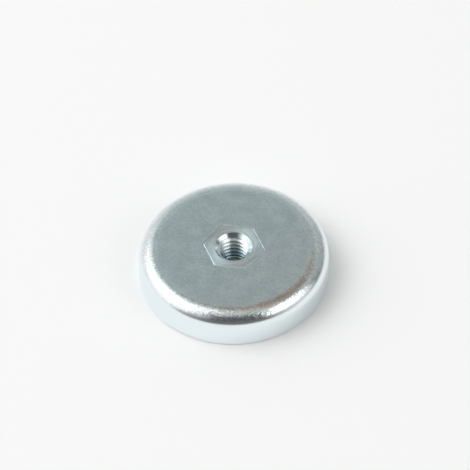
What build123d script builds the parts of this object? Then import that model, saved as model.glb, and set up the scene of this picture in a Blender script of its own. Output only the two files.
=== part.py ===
from build123d import *
from math import radians, sqrt, tan
import os

# Shallow pot magnet. A deep-drawn steel pot holds a bonded ferrite ring around a
# threaded steel insert, whose hexagon lies flush in the closed top.
# The origin is the centre of the magnetic face, which is the plane of the pot's rim.
# +Z runs up the axis, out of the closed top. Sizes are in millimetres and degrees.

# Pot
pot_diameter = 47.0
pot_height = 9.0
sheet_thickness = 2.0
draft_angle = 2.5
inner_corner_radius = 2.0
rim_chamfer = 0.25

# Threaded insert, tapped right through
thread_size = 8.0
thread_pitch = 1.25
countersink_diameter = 9.2
countersink_angle = 90.0
hexagon_across_flats = 13.0
hexagon_clearance = 0.05
seam_chamfer = 0.1
shoulder_width = 1.5
pole_chamfer = 0.3

# Ferrite ring
pole_gap = 2.0
wall_gap = 1.5
face_setback = 0.2
face_chamfer = 0.5
corner_clearance = 0.1

# Adhesive
bead_setback = 1.3

rim_radius = pot_diameter / 2
top_radius = rim_radius - pot_height * tan(radians(draft_angle))
inner_radius = rim_radius - sheet_thickness
floor_level = pot_height - sheet_thickness
outer_corner_radius = inner_corner_radius + sheet_thickness

# A coarse thread's crests are cut back by 5/8 of the height of its sharp V.
core_radius = thread_size / 2 - 5 / 8 * sqrt(3) / 2 * thread_pitch
hexagon_inradius = hexagon_across_flats / 2
hexagon_corner_radius = hexagon_across_flats / sqrt(3)
pole_radius = hexagon_corner_radius + shoulder_width

ring_inner_radius = pole_radius + pole_gap
ring_outer_radius = inner_radius - wall_gap
# The ring's back edge is cut back far enough to pass the pot's inner corner.
back_chamfer = max(face_chamfer, inner_corner_radius - wall_gap + corner_clearance)
bead_back_level = floor_level - inner_corner_radius


# Pot: a drawn cup. Its bore is straight, and its outside tapers from the rim, where
# drawing leaves the wall thickest. A hexagon is pierced through the floor.
with BuildPart() as steel_pot:
    with BuildSketch(Plane.XZ) as pot_section:
        with BuildLine():
            Polyline(
                (0, pot_height),
                (top_radius, pot_height),
                (rim_radius, 0),
                (inner_radius, 0),
                (inner_radius, floor_level),
                (0, floor_level),
                close=True,
            )
        make_face()
        top_points = pot_section.vertices().group_by(Axis.Y)[-1]
        fillet(top_points.sort_by(Axis.X)[-1], outer_corner_radius)
        floor_points = pot_section.vertices().group_by(Axis.Y)[-2]
        fillet(floor_points.sort_by(Axis.X)[-1], inner_corner_radius)
    revolve(axis=Axis.Z)
    rim_edges = steel_pot.faces().sort_by(Axis.Z)[0].edges()
    chamfer(rim_edges.sort_by(SortBy.RADIUS)[-1], rim_chamfer)
    with BuildSketch(Plane.XY.offset(pot_height)):
        RegularPolygon(hexagon_inradius + hexagon_clearance, 6, major_radius=False)
    extrude(amount=-sheet_thickness, mode=Mode.SUBTRACT)
    chamfer(steel_pot.faces().sort_by(Axis.Z)[-1].inner_wires().edges(), seam_chamfer)
steel_pot.part.label = "steel_pot"


# Insert: a round pole whose shoulder bears on the underside of the pot's floor,
# and a hexagon above it that keys into the floor and ends flush with the top.
with BuildPart() as threaded_insert:
    with BuildSketch():
        Circle(pole_radius)
    extrude(amount=floor_level)
    chamfer(threaded_insert.edges().sort_by(Axis.Z)[0], pole_chamfer)
    with BuildSketch(Plane.XY.offset(floor_level)):
        RegularPolygon(hexagon_inradius, 6, major_radius=False)
    extrude(amount=sheet_thickness)
    chamfer(threaded_insert.faces().sort_by(Axis.Z)[-1].edges(), seam_chamfer)
    with Locations(Location((0, 0, pot_height)), Location((0, 0, 0), (180, 0, 0))):
        CounterSinkHole(
            radius=core_radius,
            counter_sink_radius=countersink_diameter / 2,
            counter_sink_angle=countersink_angle,
        )
threaded_insert.part.label = "threaded_insert"


# Ferrite ring: seated on the pot's floor, set back from the rim, clear of the pole.
with BuildPart() as ferrite_ring:
    with BuildSketch(Plane.XY.offset(face_setback)):
        Circle(ring_outer_radius)
        Circle(ring_inner_radius, mode=Mode.SUBTRACT)
    extrude(amount=floor_level - face_setback)
    chamfer(ferrite_ring.faces().sort_by(Axis.Z)[0].edges(), face_chamfer)
    back_edges = ferrite_ring.faces().sort_by(Axis.Z)[-1].edges()
    chamfer(back_edges.sort_by(SortBy.RADIUS)[-1], back_chamfer)
ferrite_ring.part.label = "ferrite_ring"


# Adhesive: a bead that fills the gap between the ring and the pot's straight wall.
with BuildPart() as adhesive_bead:
    with BuildSketch(Plane.XY.offset(bead_setback)):
        Circle(inner_radius)
        Circle(ring_outer_radius, mode=Mode.SUBTRACT)
    extrude(amount=bead_back_level - bead_setback)
adhesive_bead.part.label = "adhesive_bead"


os.makedirs("parts", exist_ok=True)
export_step(steel_pot.part, "parts/steel_pot.step")
export_step(threaded_insert.part, "parts/threaded_insert.step")
export_step(ferrite_ring.part, "parts/ferrite_ring.step")
export_step(adhesive_bead.part, "parts/adhesive_bead.step")
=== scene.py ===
from math import cos, pi, radians, sin, sqrt, tan

import bpy
from mathutils import Matrix, Vector


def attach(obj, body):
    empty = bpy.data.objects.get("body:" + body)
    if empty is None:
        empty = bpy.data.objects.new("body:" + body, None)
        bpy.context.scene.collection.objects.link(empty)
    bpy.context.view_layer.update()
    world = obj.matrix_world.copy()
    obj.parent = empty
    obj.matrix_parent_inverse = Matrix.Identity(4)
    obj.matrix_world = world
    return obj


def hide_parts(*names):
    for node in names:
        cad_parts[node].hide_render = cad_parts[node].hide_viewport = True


# ---------------------------------------------------------------------------
# Sizes in millimetres, in the CAD frame: origin at the centre of the magnetic
# face, +Z out of the closed top, +X through a corner of the hexagon.
# ---------------------------------------------------------------------------
MM = 0.001

POT_DIAMETER = 47.0
POT_HEIGHT = 9.0
SHEET = 2.0
DRAFT = radians(2.5)
INNER_CORNER = 2.0
RIM_CHAMFER = 0.25

HEX_FLATS = 13.0
HEX_GAP = 0.05
POLE_SHOULDER = 1.5
POLE_CHAMFER = 0.3
COUNTERSINK = 9.2
COUNTERSINK_ANGLE = radians(90)
THREAD_MAJOR = 8.0
THREAD_PITCH = 1.25
THREAD_START = THREAD_PITCH / 2
FLANK_ANGLE = radians(60)

POLE_GAP = 2.0
WALL_GAP = 1.5
FACE_SETBACK = 0.2
FACE_CHAMFER = 0.5
CORNER_CLEARANCE = 0.1
BEAD_SETBACK = 1.3
BEAD_SAG = 0.35

# The narrow edges that draw the seam round the hexagon.
POT_SEAM_WIDTH = 0.10
POT_SEAM_DEPTH = 0.04
INSERT_SEAM_WIDTH = 0.15
INSERT_SEAM_DEPTH = 0.06

# The drawn sheet starts to bend a little before the corner proper.
ROLL_WIDTH = 1.2
ROLL_ANGLE = radians(4)

FLOOR_LEVEL = POT_HEIGHT - SHEET
RIM_RADIUS = POT_DIAMETER / 2
INNER_RADIUS = RIM_RADIUS - SHEET
OUTER_CORNER = INNER_CORNER + SHEET
POLE_RADIUS = HEX_FLATS / sqrt(3) + POLE_SHOULDER
CORE_RADIUS = THREAD_MAJOR / 2 - 5 / 8 * sqrt(3) / 2 * THREAD_PITCH
MOUTH_RADIUS = COUNTERSINK / 2
RING_INNER = POLE_RADIUS + POLE_GAP
RING_OUTER = INNER_RADIUS - WALL_GAP

# How finely the meshes are divided round the axis, and along the thread.
POT_COLUMNS = 360
INSERT_COLUMNS = 180
RING_COLUMNS = 240
ROWS_PER_TURN = 32

# Edges that bend by more than this stay sharp.
METAL_SHARP_ANGLE = radians(15)
MAGNET_SHARP_ANGLE = radians(30)

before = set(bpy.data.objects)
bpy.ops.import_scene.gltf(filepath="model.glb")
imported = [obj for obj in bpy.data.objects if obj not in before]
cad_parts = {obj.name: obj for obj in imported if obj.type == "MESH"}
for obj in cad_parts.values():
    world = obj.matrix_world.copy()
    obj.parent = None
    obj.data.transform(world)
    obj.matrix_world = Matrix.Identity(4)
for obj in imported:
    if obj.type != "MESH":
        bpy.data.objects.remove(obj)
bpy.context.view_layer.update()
scene = bpy.context.scene


# ---------------------------------------------------------------------------
# Mesh helpers. A ring is a function that gives radius and height for an angle.
# ---------------------------------------------------------------------------
def make_object(name, points, faces, sharp_angle):
    """A smooth-shaded mesh object from points in millimetres, with hard edges kept sharp."""
    mesh = bpy.data.meshes.new(name)
    mesh.from_pydata([Vector(p) * MM for p in points], [], faces)
    mesh.validate()
    mesh.shade_smooth()
    mesh.set_sharp_from_angle(angle=sharp_angle)
    obj = bpy.data.objects.new(name, mesh)
    scene.collection.objects.link(obj)
    return obj


def polar_point(radius, angle, height):
    return radius * cos(angle), radius * sin(angle), height


def ring_points(rings, columns):
    """The points of the rings, one ring after another."""
    points = []
    for ring in rings:
        for i in range(columns):
            angle = 2 * pi * i / columns
            radius, height = ring(angle)
            points.append(polar_point(radius, angle, height))
    return points


def ring_faces(first, second, columns):
    """The band of faces between two rings, each given by its place in the list of rings."""
    a = first * columns
    b = second * columns
    faces = []
    for i in range(columns):
        k = (i + 1) % columns
        faces.append((a + i, a + k, b + k, b + i))
    return faces


def polar_surface(name, columns, rings, sharp_angle):
    """A closed surface round the Z axis, through all the rings and back to the first."""
    faces = []
    for j in range(len(rings)):
        faces += ring_faces(j, (j + 1) % len(rings), columns)
    return make_object(name, ring_points(rings, columns), faces, sharp_angle)


def circle(radius, height):
    return lambda angle: (radius, height)


def hexagon(inradius, height):
    """A hexagonal ring with a corner on +X."""
    def ring(angle):
        return inradius / cos(angle % radians(60) - radians(30)), height
    return ring


def between(inner, outer, share):
    """A ring part of the way from one ring to another."""
    def ring(angle):
        r0, z0 = inner(angle)
        r1, z1 = outer(angle)
        return r0 + (r1 - r0) * share, z0 + (z1 - z0) * share
    return ring


def steps(first, last, count):
    """The rings that divide the band between two rings into count parts, without either end."""
    return [between(first, last, k / count) for k in range(1, count)]


def arc(centre_radius, centre_height, radius, start, end, count):
    """Circular rings on a rounded corner, with both ends."""
    rings = []
    for k in range(count + 1):
        a = start + (end - start) * k / count
        rings.append(circle(centre_radius + radius * cos(a), centre_height + radius * sin(a)))
    return rings


# ---------------------------------------------------------------------------
# Steel pot
# ---------------------------------------------------------------------------
def build_pot():
    """The cup. Its rings run from the hexagon's edge on top, round the outside and back inside."""
    roll_drop = ROLL_WIDTH * tan(ROLL_ANGLE / 2)
    roll_radius = OUTER_CORNER + ROLL_WIDTH / sin(ROLL_ANGLE)
    roll_z = POT_HEIGHT - roll_radius
    corner_z = POT_HEIGHT - OUTER_CORNER - roll_drop
    corner_r = (RIM_RADIUS * cos(DRAFT) - OUTER_CORNER - corner_z * sin(DRAFT)) / cos(DRAFT)
    flat_r = corner_r - ROLL_WIDTH
    inner_z = FLOOR_LEVEL - INNER_CORNER
    inner_r = INNER_RADIUS - INNER_CORNER
    hole = HEX_FLATS / 2 + HEX_GAP
    upright = radians(90)
    bend_start = upright - ROLL_ANGLE

    # Flat top, the sheet's roll, and the corner down to the drafted wall.
    mouth = hexagon(hole + POT_SEAM_WIDTH, POT_HEIGHT)
    rings = [mouth] + steps(mouth, circle(flat_r, POT_HEIGHT), count=8)
    rings += arc(flat_r, roll_z, roll_radius, upright, bend_start, count=6)
    rings += arc(corner_r, corner_z, OUTER_CORNER, bend_start, DRAFT, count=28)[1:]

    # Wall and rim.
    foot = circle(RIM_RADIUS - RIM_CHAMFER * tan(DRAFT), RIM_CHAMFER)
    rings += steps(rings[-1], foot, count=5) + [foot]
    rings += [circle(RIM_RADIUS - RIM_CHAMFER, 0), circle(INNER_RADIUS, 0)]

    # Inside, and up through the hexagonal hole to the seam's edge.
    rings += [circle(INNER_RADIUS, BEAD_SETBACK)]
    rings += arc(inner_r, inner_z, INNER_CORNER, 0, upright, count=10)
    floor_edge = hexagon(hole, FLOOR_LEVEL)
    rings += steps(circle(inner_r, FLOOR_LEVEL), floor_edge, count=5) + [floor_edge]
    rings += [hexagon(hole, POT_HEIGHT - POT_SEAM_DEPTH)]
    return polar_surface("pot_shell", POT_COLUMNS, rings, METAL_SHARP_ANGLE)


# ---------------------------------------------------------------------------
# Threaded insert
# ---------------------------------------------------------------------------
def thread_radius(offset):
    """Radius of the tapped wall at a height above the middle of a crest, one pitch repeating.

    The plating rounds the crest, from flank to flank."""
    slope = tan(FLANK_ANGLE)
    crest_half = THREAD_PITCH / 16
    crest_round = crest_half * slope
    u = abs((offset / THREAD_PITCH + 0.5) % 1 - 0.5) * THREAD_PITCH
    if u < crest_round * sin(FLANK_ANGLE):
        rise = crest_round - sqrt(crest_round ** 2 - u ** 2)
    else:
        rise = (u - crest_half) * slope
    return min(CORE_RADIUS + rise, THREAD_MAJOR / 2)


def bore_radius(angle, height):
    """Radius of the bore: the countersinks' cones, or the thread where that is wider."""
    cone = MOUTH_RADIUS - min(height, POT_HEIGHT - height) * tan(COUNTERSINK_ANGLE / 2)
    turn = thread_radius(height - THREAD_START - THREAD_PITCH * angle / (2 * pi))
    return max(turn, cone)


def insert_outside():
    """Rings from the upper mouth over the hexagon, shoulder and pole to the lower mouth."""
    hex_r = HEX_FLATS / 2
    upper_mouth = circle(MOUTH_RADIUS, POT_HEIGHT)
    lower_mouth = circle(MOUTH_RADIUS, 0)
    top_edge = hexagon(hex_r - INSERT_SEAM_WIDTH, POT_HEIGHT)
    pole_edge = circle(POLE_RADIUS - POLE_CHAMFER, 0)
    rings = [upper_mouth] + steps(upper_mouth, top_edge, count=4) + [top_edge]
    rings += [hexagon(hex_r, POT_HEIGHT - INSERT_SEAM_DEPTH), hexagon(hex_r, FLOOR_LEVEL)]
    rings += [circle(POLE_RADIUS, FLOOR_LEVEL), circle(POLE_RADIUS, POLE_CHAMFER)]
    rings += [pole_edge] + steps(pole_edge, lower_mouth, count=4) + [lower_mouth]
    return rings


def build_insert():
    """The insert with its tapped bore, as one closed surface."""
    outside = insert_outside()
    last = len(outside) - 1
    points = ring_points(outside, INSERT_COLUMNS)
    faces = []
    for j in range(last):
        faces += ring_faces(j, j + 1, INSERT_COLUMNS)

    # The bore's rows follow the helix, so the flanks keep straight edges. A row that would
    # leave the bore is held at the mouth, where its faces shrink to nothing.
    turns = int(POT_HEIGHT / THREAD_PITCH) + 2
    rows = turns * ROWS_PER_TURN
    row_rise = THREAD_PITCH / ROWS_PER_TURN
    bore = {}
    for i in range(INSERT_COLUMNS):
        angle = 2 * pi * i / INSERT_COLUMNS
        for j in range(rows + 1):
            height = (j - ROWS_PER_TURN) * row_rise + THREAD_PITCH * angle / (2 * pi)
            if height <= 0:
                bore[i, j] = last * INSERT_COLUMNS + i
            elif height >= POT_HEIGHT:
                bore[i, j] = i
            else:
                bore[i, j] = len(points)
                points.append(polar_point(bore_radius(angle, height), angle, height))

    # Past the last column, the rows join the first column one turn further up. Corners that
    # fell together at a mouth are dropped, and so are faces with nothing left.
    for i in range(INSERT_COLUMNS):
        closing = i + 1 == INSERT_COLUMNS
        right = 0 if closing else i + 1
        shift = ROWS_PER_TURN if closing else 0
        for j in range(rows - shift):
            k = j + shift
            corners = [bore[i, j], bore[right, k], bore[right, k + 1], bore[i, j + 1]]
            loop = [c for n, c in enumerate(corners) if c != corners[n - 1]]
            if len(set(loop)) >= 3:
                faces.append(tuple(reversed(loop)))
    return make_object("insert_tapped", points, faces, METAL_SHARP_ANGLE)


# ---------------------------------------------------------------------------
# Ferrite ring and adhesive
# ---------------------------------------------------------------------------
def build_ring():
    """The magnet, with broken edges on its open face and a chamfer that clears the pot's corner."""
    back_chamfer = max(FACE_CHAMFER, INNER_CORNER - WALL_GAP + CORNER_CLEARANCE)
    rings = [
        circle(RING_INNER, FACE_SETBACK + FACE_CHAMFER),
        circle(RING_INNER, FLOOR_LEVEL),
        circle(RING_OUTER - back_chamfer, FLOOR_LEVEL),
        circle(RING_OUTER, FLOOR_LEVEL - back_chamfer),
        circle(RING_OUTER, FACE_SETBACK + FACE_CHAMFER),
    ]
    outer_edge = circle(RING_OUTER - FACE_CHAMFER, FACE_SETBACK)
    inner_edge = circle(RING_INNER + FACE_CHAMFER, FACE_SETBACK)
    rings += [outer_edge] + steps(outer_edge, inner_edge, count=6) + [inner_edge]
    rings.reverse()
    return polar_surface("ferrite_body", RING_COLUMNS, rings, MAGNET_SHARP_ANGLE)


def build_bead():
    """The bead between the ring and the wall, with its open face sagging into the gap."""
    face_steps = 12
    top = FLOOR_LEVEL - INNER_CORNER
    rings = [circle(RING_OUTER, top), circle(INNER_RADIUS, top)]
    for k in range(face_steps + 1):
        share = k / face_steps
        radius = INNER_RADIUS + (RING_OUTER - INNER_RADIUS) * share
        rings.append(circle(radius, BEAD_SETBACK + BEAD_SAG * (1 - (2 * share - 1) ** 2)))
    return polar_surface("bead_cured", RING_COLUMNS, rings, MAGNET_SHARP_ANGLE)


pot = build_pot()
insert = build_insert()
magnet = build_ring()
bead = build_bead()

for piece, node, slot in (
    (pot, "steel_pot", "pot_steel"),
    (insert, "threaded_insert", "insert_steel"),
    (magnet, "ferrite_ring", "ferrite"),
    (bead, "adhesive_bead", "adhesive"),
):
    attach(piece, "root")
    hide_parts(node)


# ---------------------------------------------------------------------------
# Node helpers
# ---------------------------------------------------------------------------
def rgba(color):
    return (*color, 1.0)


class Nodes:
    """Adds nodes to one tree; a value may be a number, a tuple or another node's output."""

    def __init__(self, tree):
        self.tree = tree
        tree.nodes.clear()

    def add(self, kind, **settings):
        node = self.tree.nodes.new(kind)
        for key, value in settings.items():
            setattr(node, key, value)
        return node

    def put(self, socket, value):
        if isinstance(value, bpy.types.NodeSocket):
            self.tree.links.new(value, socket)
        else:
            socket.default_value = value

    def math(self, operation, *values, clamp=False):
        node = self.add("ShaderNodeMath", operation=operation, use_clamp=clamp)
        for socket, value in zip(node.inputs, values):
            self.put(socket, value)
        return node.outputs[0]

    def vector(self, operation, *values):
        node = self.add("ShaderNodeVectorMath", operation=operation)
        for socket, value in zip(node.inputs, values):
            self.put(socket, value)
        return node.outputs["Value"] if operation in ("DOT_PRODUCT", "LENGTH") else node.outputs[0]

    def height(self, place):
        """The height of a place above the magnetic face."""
        node = self.add("ShaderNodeSeparateXYZ")
        self.put(node.inputs[0], place)
        return node.outputs["Z"]

    def ramp(self, value, start, end, low=0.0, high=1.0):
        """low up to start, high from end on, and a smooth step between."""
        node = self.add("ShaderNodeMapRange", interpolation_type="SMOOTHSTEP")
        self.put(node.inputs["Value"], value)
        self.put(node.inputs["From Min"], start)
        self.put(node.inputs["From Max"], end)
        self.put(node.inputs["To Min"], low)
        self.put(node.inputs["To Max"], high)
        return node.outputs[0]

    def switch(self, share, low, high):
        """low where share is 0, high where it is 1."""
        return self.ramp(share, 0.0, 1.0, low, high)

    def mix(self, share, first, second):
        node = self.add("ShaderNodeMix", data_type="RGBA")
        self.put(node.inputs[0], share)
        self.put(node.inputs[6], first)
        self.put(node.inputs[7], second)
        return node.outputs[2]

    def noise(self, place, scale, detail=2.0, roughness=0.5):
        """Noise from 0 to 1, with features about 1/scale millimetres across."""
        node = self.add("ShaderNodeTexNoise")
        self.put(node.inputs["Vector"], place)
        self.put(node.inputs["Scale"], scale)
        self.put(node.inputs["Detail"], detail)
        self.put(node.inputs["Roughness"], roughness)
        return node.outputs[0]

    def facets(self, place, scale, tilt, normal):
        """Normals turned at random in cells about 1/scale millimetres across, by up to about
        tilt radians on each axis."""
        node = self.add("ShaderNodeTexVoronoi")
        self.put(node.inputs["Vector"], place)
        self.put(node.inputs["Scale"], scale)
        turn = self.vector("SUBTRACT", node.outputs["Color"], (0.5, 0.5, 0.5))
        spread = self.add("ShaderNodeVectorMath", operation="SCALE")
        self.put(spread.inputs[0], turn)
        self.put(spread.inputs["Scale"], self.math("MULTIPLY", tilt, 2.0))
        return self.vector("NORMALIZE", self.vector("ADD", normal, spread.outputs[0]))

    def bump(self, height, depth):
        """Relief whose full height range is depth, in millimetres."""
        node = self.add("ShaderNodeBump")
        self.put(node.inputs["Height"], self.math("MULTIPLY", height, depth))
        self.put(node.inputs["Distance"], MM)
        return node.outputs[0]


def new_material(name):
    """A material, its nodes, its shader, and the place on the piece in millimetres."""
    material = bpy.data.materials.new(name)
    material.use_nodes = True
    nodes = Nodes(material.node_tree)
    shader = nodes.add("ShaderNodeBsdfPrincipled")
    output = nodes.add("ShaderNodeOutputMaterial")
    nodes.tree.links.new(shader.outputs[0], output.inputs[0])
    metres = nodes.add("ShaderNodeTexCoord").outputs["Object"]
    place = nodes.vector("MULTIPLY", metres, (1 / MM, 1 / MM, 1 / MM))
    return material, nodes, shader, place


# ---------------------------------------------------------------------------
# Materials
# ---------------------------------------------------------------------------
def pot_material():
    """Zinc-plated drawn steel: satin flat top, pebbled bend, smooth burnished wall."""
    material, nodes, shader, place = new_material("zinc_drawn")

    # Depths below the top: where the flat ends, where its rolled tone has worn off, where
    # the pits come in, and where the bend's grain fades into the wall.
    flat_depth = 0.06
    worn_depth = 0.35
    pits_start, pits_full = 0.1, 0.3
    grain_fade, grain_end = 1.1, 2.2
    just_below = 0.001

    height = nodes.height(place)
    flat = nodes.ramp(height, POT_HEIGHT - flat_depth, POT_HEIGHT - just_below)
    bend = nodes.ramp(height, POT_HEIGHT - grain_end, POT_HEIGHT - grain_fade)

    # Colour: a satin mottle, darker on the rolled flat than on the formed bend and wall.
    fine_share, cloud_share = 0.6, 0.4
    mottle = nodes.noise(place, scale=1.7, detail=4.0, roughness=0.7)
    cloud = nodes.noise(place, scale=0.22, detail=3.0, roughness=0.6)
    mottle = nodes.math("MULTIPLY", mottle, fine_share)
    cloud = nodes.math("MULTIPLY", cloud, cloud_share)
    tone = nodes.ramp(nodes.math("ADD", mottle, cloud), start=0.38, end=0.62)
    wall = rgba((0.855, 0.925, 0.95))
    formed = nodes.mix(tone, rgba((0.785, 0.85, 0.865)), rgba((0.905, 0.935, 0.945)))
    formed = nodes.mix(bend, wall, formed)
    rolled = nodes.mix(tone, rgba((0.53, 0.64, 0.672)), rgba((0.68, 0.785, 0.817)))
    drop = nodes.math("SUBTRACT", POT_HEIGHT, height)
    drop = nodes.math("DIVIDE", drop, worn_depth, clamp=True)
    wear_power = 0.4
    color = nodes.mix(nodes.math("POWER", drop, wear_power), rolled, formed)

    # Stretched grain on the bend: darker pits, fainter on the flat.
    faint = 0.15
    grain = nodes.noise(place, scale=4.2, detail=2.0, roughness=0.6)
    depth_share = nodes.ramp(height, POT_HEIGHT - pits_full, POT_HEIGHT - pits_start, 1.0, faint)
    pits = nodes.math("MULTIPLY", nodes.ramp(grain, start=0.53, end=0.38), depth_share)
    pits = nodes.math("MULTIPLY", pits, bend)
    color = nodes.mix(pits, color, rgba((0.58, 0.62, 0.64)))
    nodes.put(shader.inputs["Base Color"], color)
    shader.inputs["Metallic"].default_value = 1.0

    bend_roughness, flat_roughness, roughness_spread = 0.13, 0.25, 0.10
    smear = nodes.noise(place, scale=3.2, detail=2.0)
    base = nodes.switch(flat, bend_roughness, flat_roughness)
    roughness = nodes.math("MULTIPLY_ADD", smear, roughness_spread, base)
    nodes.put(shader.inputs["Roughness"], roughness)

    # Relief: pebbles all over, deepest on the bend, which small tilted facets cover too.
    wall_relief, grain_relief = 0.004, 0.012
    facet_scale, facet_tilt = 5.4, 0.075
    grained = nodes.math("MULTIPLY", bend, nodes.switch(flat, 1.0, faint))
    pebbles = nodes.noise(place, scale=1.5, detail=2.0, roughness=0.6)
    relief = nodes.math("MULTIPLY_ADD", grained, grain_relief, wall_relief)
    tilt = nodes.math("MULTIPLY", grained, facet_tilt)
    normal = nodes.facets(place, facet_scale, tilt, nodes.bump(pebbles, relief))
    nodes.put(shader.inputs["Normal"], normal)
    return material


def insert_material():
    """Zinc-plated steel, turned, so its finish runs in circles round the axis."""
    material, nodes, shader, place = new_material("zinc_turned")

    # Where the surface lies: bore is 1 within the mouth, thread is 1 past the countersinks.
    mouth_soft = 0.05
    thread_start, thread_full = 0.03, 0.3
    height = nodes.height(place)
    below_top = nodes.math("SUBTRACT", POT_HEIGHT, height)
    across = nodes.vector("LENGTH", nodes.vector("MULTIPLY", place, (1, 1, 0)))
    bore = nodes.ramp(across, MOUTH_RADIUS + mouth_soft, MOUTH_RADIUS - mouth_soft)
    nearest_end = nodes.math("MINIMUM", height, below_top)
    past_cone = nodes.math("SUBTRACT", nodes.math("ADD", across, nearest_end), MOUTH_RADIUS)
    thread = nodes.math("MULTIPLY", bore, nodes.ramp(past_cone, thread_start, thread_full))

    # Turned grooves of uneven depth, as noise along the radius that wanders a little.
    wander = 0.15
    radial = nodes.add("ShaderNodeCombineXYZ")
    nodes.put(radial.inputs[0], across)
    drift = nodes.vector("MULTIPLY", place, (wander, wander, wander))
    turned_place = nodes.vector("ADD", radial.outputs[0], drift)
    groove = nodes.noise(turned_place, scale=2.8, detail=3.0, roughness=0.7)

    # The hexagon is brighter near the mouth. Down the thread the colour darkens with depth below the top:
    # painted shade in the bore.
    bright_radius, dull_radius = 5.4, 6.2
    shade_start_depth, shade_end_depth = 1.8, 7.2
    tone = nodes.ramp(groove, start=0.35, end=0.65)
    inside = nodes.mix(tone, rgba((0.595, 0.705, 0.74)), rgba((0.83, 0.93, 0.965)))
    outside = nodes.mix(tone, rgba((0.55, 0.655, 0.69)), rgba((0.72, 0.82, 0.85)))
    hexagon_color = nodes.mix(nodes.ramp(across, bright_radius, dull_radius), inside, outside)
    cone_color = rgba((0.68, 0.775, 0.795))
    # Painted shade: the thread is pale near the top and dark teal deep down the bore.
    painted_depth_shade = nodes.ramp(below_top, shade_start_depth, shade_end_depth)
    shaded_thread_color = nodes.mix(painted_depth_shade, rgba((0.90, 0.95, 0.96)), rgba((0.30, 0.44, 0.47)))
    color = nodes.mix(thread, nodes.mix(bore, hexagon_color, cone_color), shaded_thread_color)
    nodes.put(shader.inputs["Base Color"], color)
    shader.inputs["Metallic"].default_value = 1.0

    hexagon_roughness, cone_roughness, thread_roughness = 0.27, 0.14, 0.25
    roughness_spread = 0.06
    base = nodes.switch(bore, hexagon_roughness, cone_roughness)
    base = nodes.switch(thread, base, thread_roughness)
    smear = nodes.noise(place, scale=3.0)
    roughness = nodes.math("MULTIPLY_ADD", smear, roughness_spread, base)
    nodes.put(shader.inputs["Roughness"], roughness)
    shader.inputs["Anisotropic"].default_value = 0.85
    shader.inputs["Anisotropic Rotation"].default_value = 0.25
    around = nodes.add("ShaderNodeTangent", direction_type="RADIAL", axis="Z")
    nodes.put(shader.inputs["Tangent"], around.outputs[0])

    hexagon_relief, bore_relief = 0.03, 0.006
    relief = nodes.switch(bore, hexagon_relief, bore_relief)
    nodes.put(shader.inputs["Normal"], nodes.bump(groove, relief))
    return material


def ferrite_material():
    """Sintered ferrite, ground flat on its open face."""
    material, nodes, shader, place = new_material("ferrite_sintered")
    least_roughness, roughness_spread = 0.42, 0.25
    relief = 0.02
    dark = rgba((0.045, 0.045, 0.048))
    pale = rgba((0.085, 0.085, 0.09))
    speckle = nodes.noise(place, scale=2.5, detail=4.0, roughness=0.7)
    color = nodes.mix(nodes.ramp(speckle, start=0.35, end=0.75), dark, pale)
    nodes.put(shader.inputs["Base Color"], color)
    smear = nodes.noise(place, scale=1.2)
    roughness = nodes.math("MULTIPLY_ADD", smear, roughness_spread, least_roughness)
    nodes.put(shader.inputs["Roughness"], roughness)
    nodes.put(shader.inputs["Normal"], nodes.bump(speckle, relief))
    return material


def adhesive_material():
    """Cured epoxy, pale amber."""
    material, nodes, shader, place = new_material("epoxy_cured")
    least_roughness, roughness_spread = 0.2, 0.2
    relief = 0.06
    amber = rgba((0.60, 0.52, 0.36))
    pale = rgba((0.72, 0.65, 0.48))
    cloud = nodes.noise(place, scale=0.35, detail=3.0)
    color = nodes.mix(nodes.ramp(cloud, start=0.3, end=0.7), amber, pale)
    nodes.put(shader.inputs["Base Color"], color)
    roughness = nodes.math("MULTIPLY_ADD", cloud, roughness_spread, least_roughness)
    nodes.put(shader.inputs["Roughness"], roughness)
    ripple = nodes.noise(place, scale=0.8, detail=2.0)
    nodes.put(shader.inputs["Normal"], nodes.bump(ripple, relief))
    return material


for piece, material in (
    (pot, pot_material()),
    (insert, insert_material()),
    (magnet, ferrite_material()),
    (bead, adhesive_material()),
):
    piece.data.materials.append(material)


# ---------------------------------------------------------------------------
# Camera, in metres: where it stood for the photo, as worked out from the grid
# printed on the mat
# ---------------------------------------------------------------------------
CAMERA_PLACE = Vector((0.079979, -0.436186, 0.515634))
CAMERA_RIGHT = Vector((0.98822, 0.15092, -0.02536))
CAMERA_FORWARD = Vector((-0.11867, 0.65103, -0.74971))
LENS_MM = 211.98
SENSOR_MM = 36.0
NEAREST_SEEN = 0.01
FURTHEST_SEEN = 20.0

camera = bpy.data.objects.new("camera", bpy.data.cameras.new("camera"))
scene.collection.objects.link(camera)
scene.camera = camera
up = CAMERA_RIGHT.cross(CAMERA_FORWARD).normalized()
basis = Matrix((CAMERA_RIGHT.normalized(), up, -CAMERA_FORWARD.normalized())).transposed()
camera.matrix_world = Matrix.Translation(CAMERA_PLACE) @ basis.to_4x4()
camera.data.sensor_width = SENSOR_MM
camera.data.lens = LENS_MM
camera.data.clip_start = NEAREST_SEEN
camera.data.clip_end = FURTHEST_SEEN


# ---------------------------------------------------------------------------
# Floor, in metres
# ---------------------------------------------------------------------------
FLOOR_HALF = 3.0
FLOOR_COLOR = rgba((0.93, 0.93, 0.93))

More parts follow.
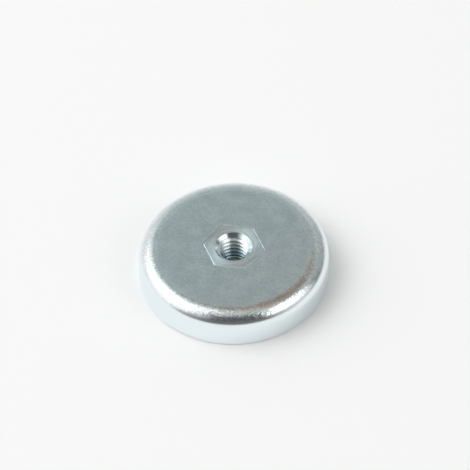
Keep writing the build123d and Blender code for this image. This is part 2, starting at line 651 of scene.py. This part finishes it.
floor_corners = [
    (-FLOOR_HALF, -FLOOR_HALF, 0),
    (FLOOR_HALF, -FLOOR_HALF, 0),
    (FLOOR_HALF, FLOOR_HALF, 0),
    (-FLOOR_HALF, FLOOR_HALF, 0),
]
floor_mesh = bpy.data.meshes.new("floor")
floor_mesh.from_pydata(floor_corners, [], [(0, 1, 2, 3)])
floor = bpy.data.objects.new("floor", floor_mesh)
scene.collection.objects.link(floor)
floor_material = bpy.data.materials.new("pale_floor")
floor_material.use_nodes = True
floor_shader = floor_material.node_tree.nodes["Principled BSDF"]
floor_shader.inputs["Base Color"].default_value = FLOOR_COLOR
floor_shader.inputs["Roughness"].default_value = 0.9
floor_shader.inputs["Specular IOR Level"].default_value = 0.0
floor_mesh.materials.append(floor_material)


# ---------------------------------------------------------------------------
# Studio: a pale room with one large soft light at the left and a smaller one at
# the right, a dim room behind the camera and a brown ceiling beyond the object.
# Azimuth is zero towards the camera and grows to its right. Azimuths and
# elevations are in degrees.
# ---------------------------------------------------------------------------
def build_world():
    world = bpy.data.worlds.new("studio")
    scene.world = world
    world.use_nodes = True
    nodes = Nodes(world.node_tree)
    direction = nodes.add("ShaderNodeTexCoord").outputs["Generated"]
    toward = Vector((CAMERA_PLACE.x, CAMERA_PLACE.y, 0)).normalized()
    sideways = Vector((-toward.y, toward.x, 0))
    across = nodes.vector("DOT_PRODUCT", direction, sideways)
    ahead = nodes.vector("DOT_PRODUCT", direction, toward)
    rise = nodes.vector("DOT_PRODUCT", direction, (0, 0, 1))
    azimuth = nodes.math("DEGREES", nodes.math("ARCTAN2", across, ahead))
    elevation = nodes.math("DEGREES", nodes.math("ARCSINE", rise))

    def lay(color, shade, azimuths, elevations, side_soft, edge_soft):
        """The colour with a shade laid over one block of directions, with soft edges."""
        first, last = azimuths
        low, high = elevations
        half_width = (last - first) / 2
        turn = nodes.math("SUBTRACT", azimuth, (first + last) / 2)
        aside = nodes.math("ABSOLUTE", nodes.math("WRAP", turn, 180, -180))
        share = nodes.ramp(aside, half_width + side_soft, half_width - side_soft)
        for edge, soft in ((low, edge_soft), (high, -edge_soft)):
            share = nodes.math("MULTIPLY", share, nodes.ramp(elevation, edge - soft, edge + soft))
        return nodes.mix(share, color, shade)

    # The room all round, from the horizon up to the zenith.
    horizon = rgba((0.83, 0.83, 0.83))
    middle_wall = rgba((0.60, 0.62, 0.62))
    upper_wall = rgba((0.415, 0.50, 0.505))
    zenith = rgba((0.64, 0.57, 0.50))
    color = nodes.mix(nodes.ramp(elevation, start=-2, end=26), horizon, middle_wall)
    color = nodes.mix(nodes.ramp(elevation, start=26, end=60), color, upper_wall)
    color = nodes.mix(nodes.ramp(elevation, start=65, end=90), color, zenith)

    # What stands in the room, each over the ones before it.
    warm_ceiling = rgba((0.42, 0.36, 0.31))
    brown_ceiling = rgba((0.29, 0.20, 0.15))
    side_wall = rgba((0.40, 0.43, 0.42))
    dark_gap = rgba((0.15, 0.16, 0.16))
    dim_room = rgba((0.135, 0.137, 0.14))
    dark_core = rgba((0.104, 0.106, 0.108))
    low_glow = rgba((0.56, 0.57, 0.57))
    left_light = rgba((2.6, 2.6, 2.6))
    right_light = rgba((1.9, 1.9, 1.86))
    color = lay(color, warm_ceiling, azimuths=(70, 190), elevations=(60, 80), side_soft=12, edge_soft=8)
    color = lay(color, brown_ceiling, azimuths=(118, 186), elevations=(50, 69.5), side_soft=9, edge_soft=6)
    color = lay(color, side_wall, azimuths=(85, 151), elevations=(-5, 43), side_soft=22, edge_soft=5)
    color = lay(color, dark_gap, azimuths=(98, 108), elevations=(4, 38), side_soft=7, edge_soft=6)
    color = lay(color, dim_room, azimuths=(-67, 57), elevations=(1.5, 62), side_soft=10, edge_soft=7)
    color = lay(color, dark_core, azimuths=(-28, 24), elevations=(28, 48), side_soft=8, edge_soft=6)
    color = lay(color, low_glow, azimuths=(41, 69), elevations=(-5, 13), side_soft=14, edge_soft=5)
    color = lay(color, left_light, azimuths=(-133, -59), elevations=(21, 71), side_soft=38, edge_soft=24)
    color = lay(color, right_light, azimuths=(39, 88), elevations=(20, 62), side_soft=8, edge_soft=8)

    # The lights are held down near the horizon and reach their full strength high up.
    low_limit, high_limit = 1.2, 2.6
    limit = nodes.ramp(elevation, start=24, end=40, low=low_limit, high=high_limit)
    color = nodes.vector("MINIMUM", color, limit)

    background = nodes.add("ShaderNodeBackground")
    nodes.put(background.inputs["Color"], color)
    background.inputs["Strength"].default_value = 1.0
    output = nodes.add("ShaderNodeOutputWorld")
    nodes.tree.links.new(background.outputs[0], output.inputs[0])


build_world()


# ---------------------------------------------------------------------------
# A broad lamp overhead, in metres, brings the floor up to its written colour.
# It is kept out of the metal, whose reflections are the studio's alone.
# ---------------------------------------------------------------------------
LAMP_PLACE = Vector((-0.8, 0.0, 1.1))
LAMP_SIZE = 1.6
LAMP_WATTS = 5.35

lamp = bpy.data.objects.new("overhead", bpy.data.lights.new("overhead", "AREA"))
scene.collection.objects.link(lamp)
lamp.data.shape = "DISK"
lamp.data.size = LAMP_SIZE
lamp.data.energy = LAMP_WATTS
lamp.location = LAMP_PLACE
lamp.rotation_euler = (Vector((0, 0, 0)) - LAMP_PLACE).to_track_quat("-Z", "Y").to_euler()
lamp.visible_glossy = False
lamp.visible_camera = False

scene.view_settings.view_transform = "Standard"
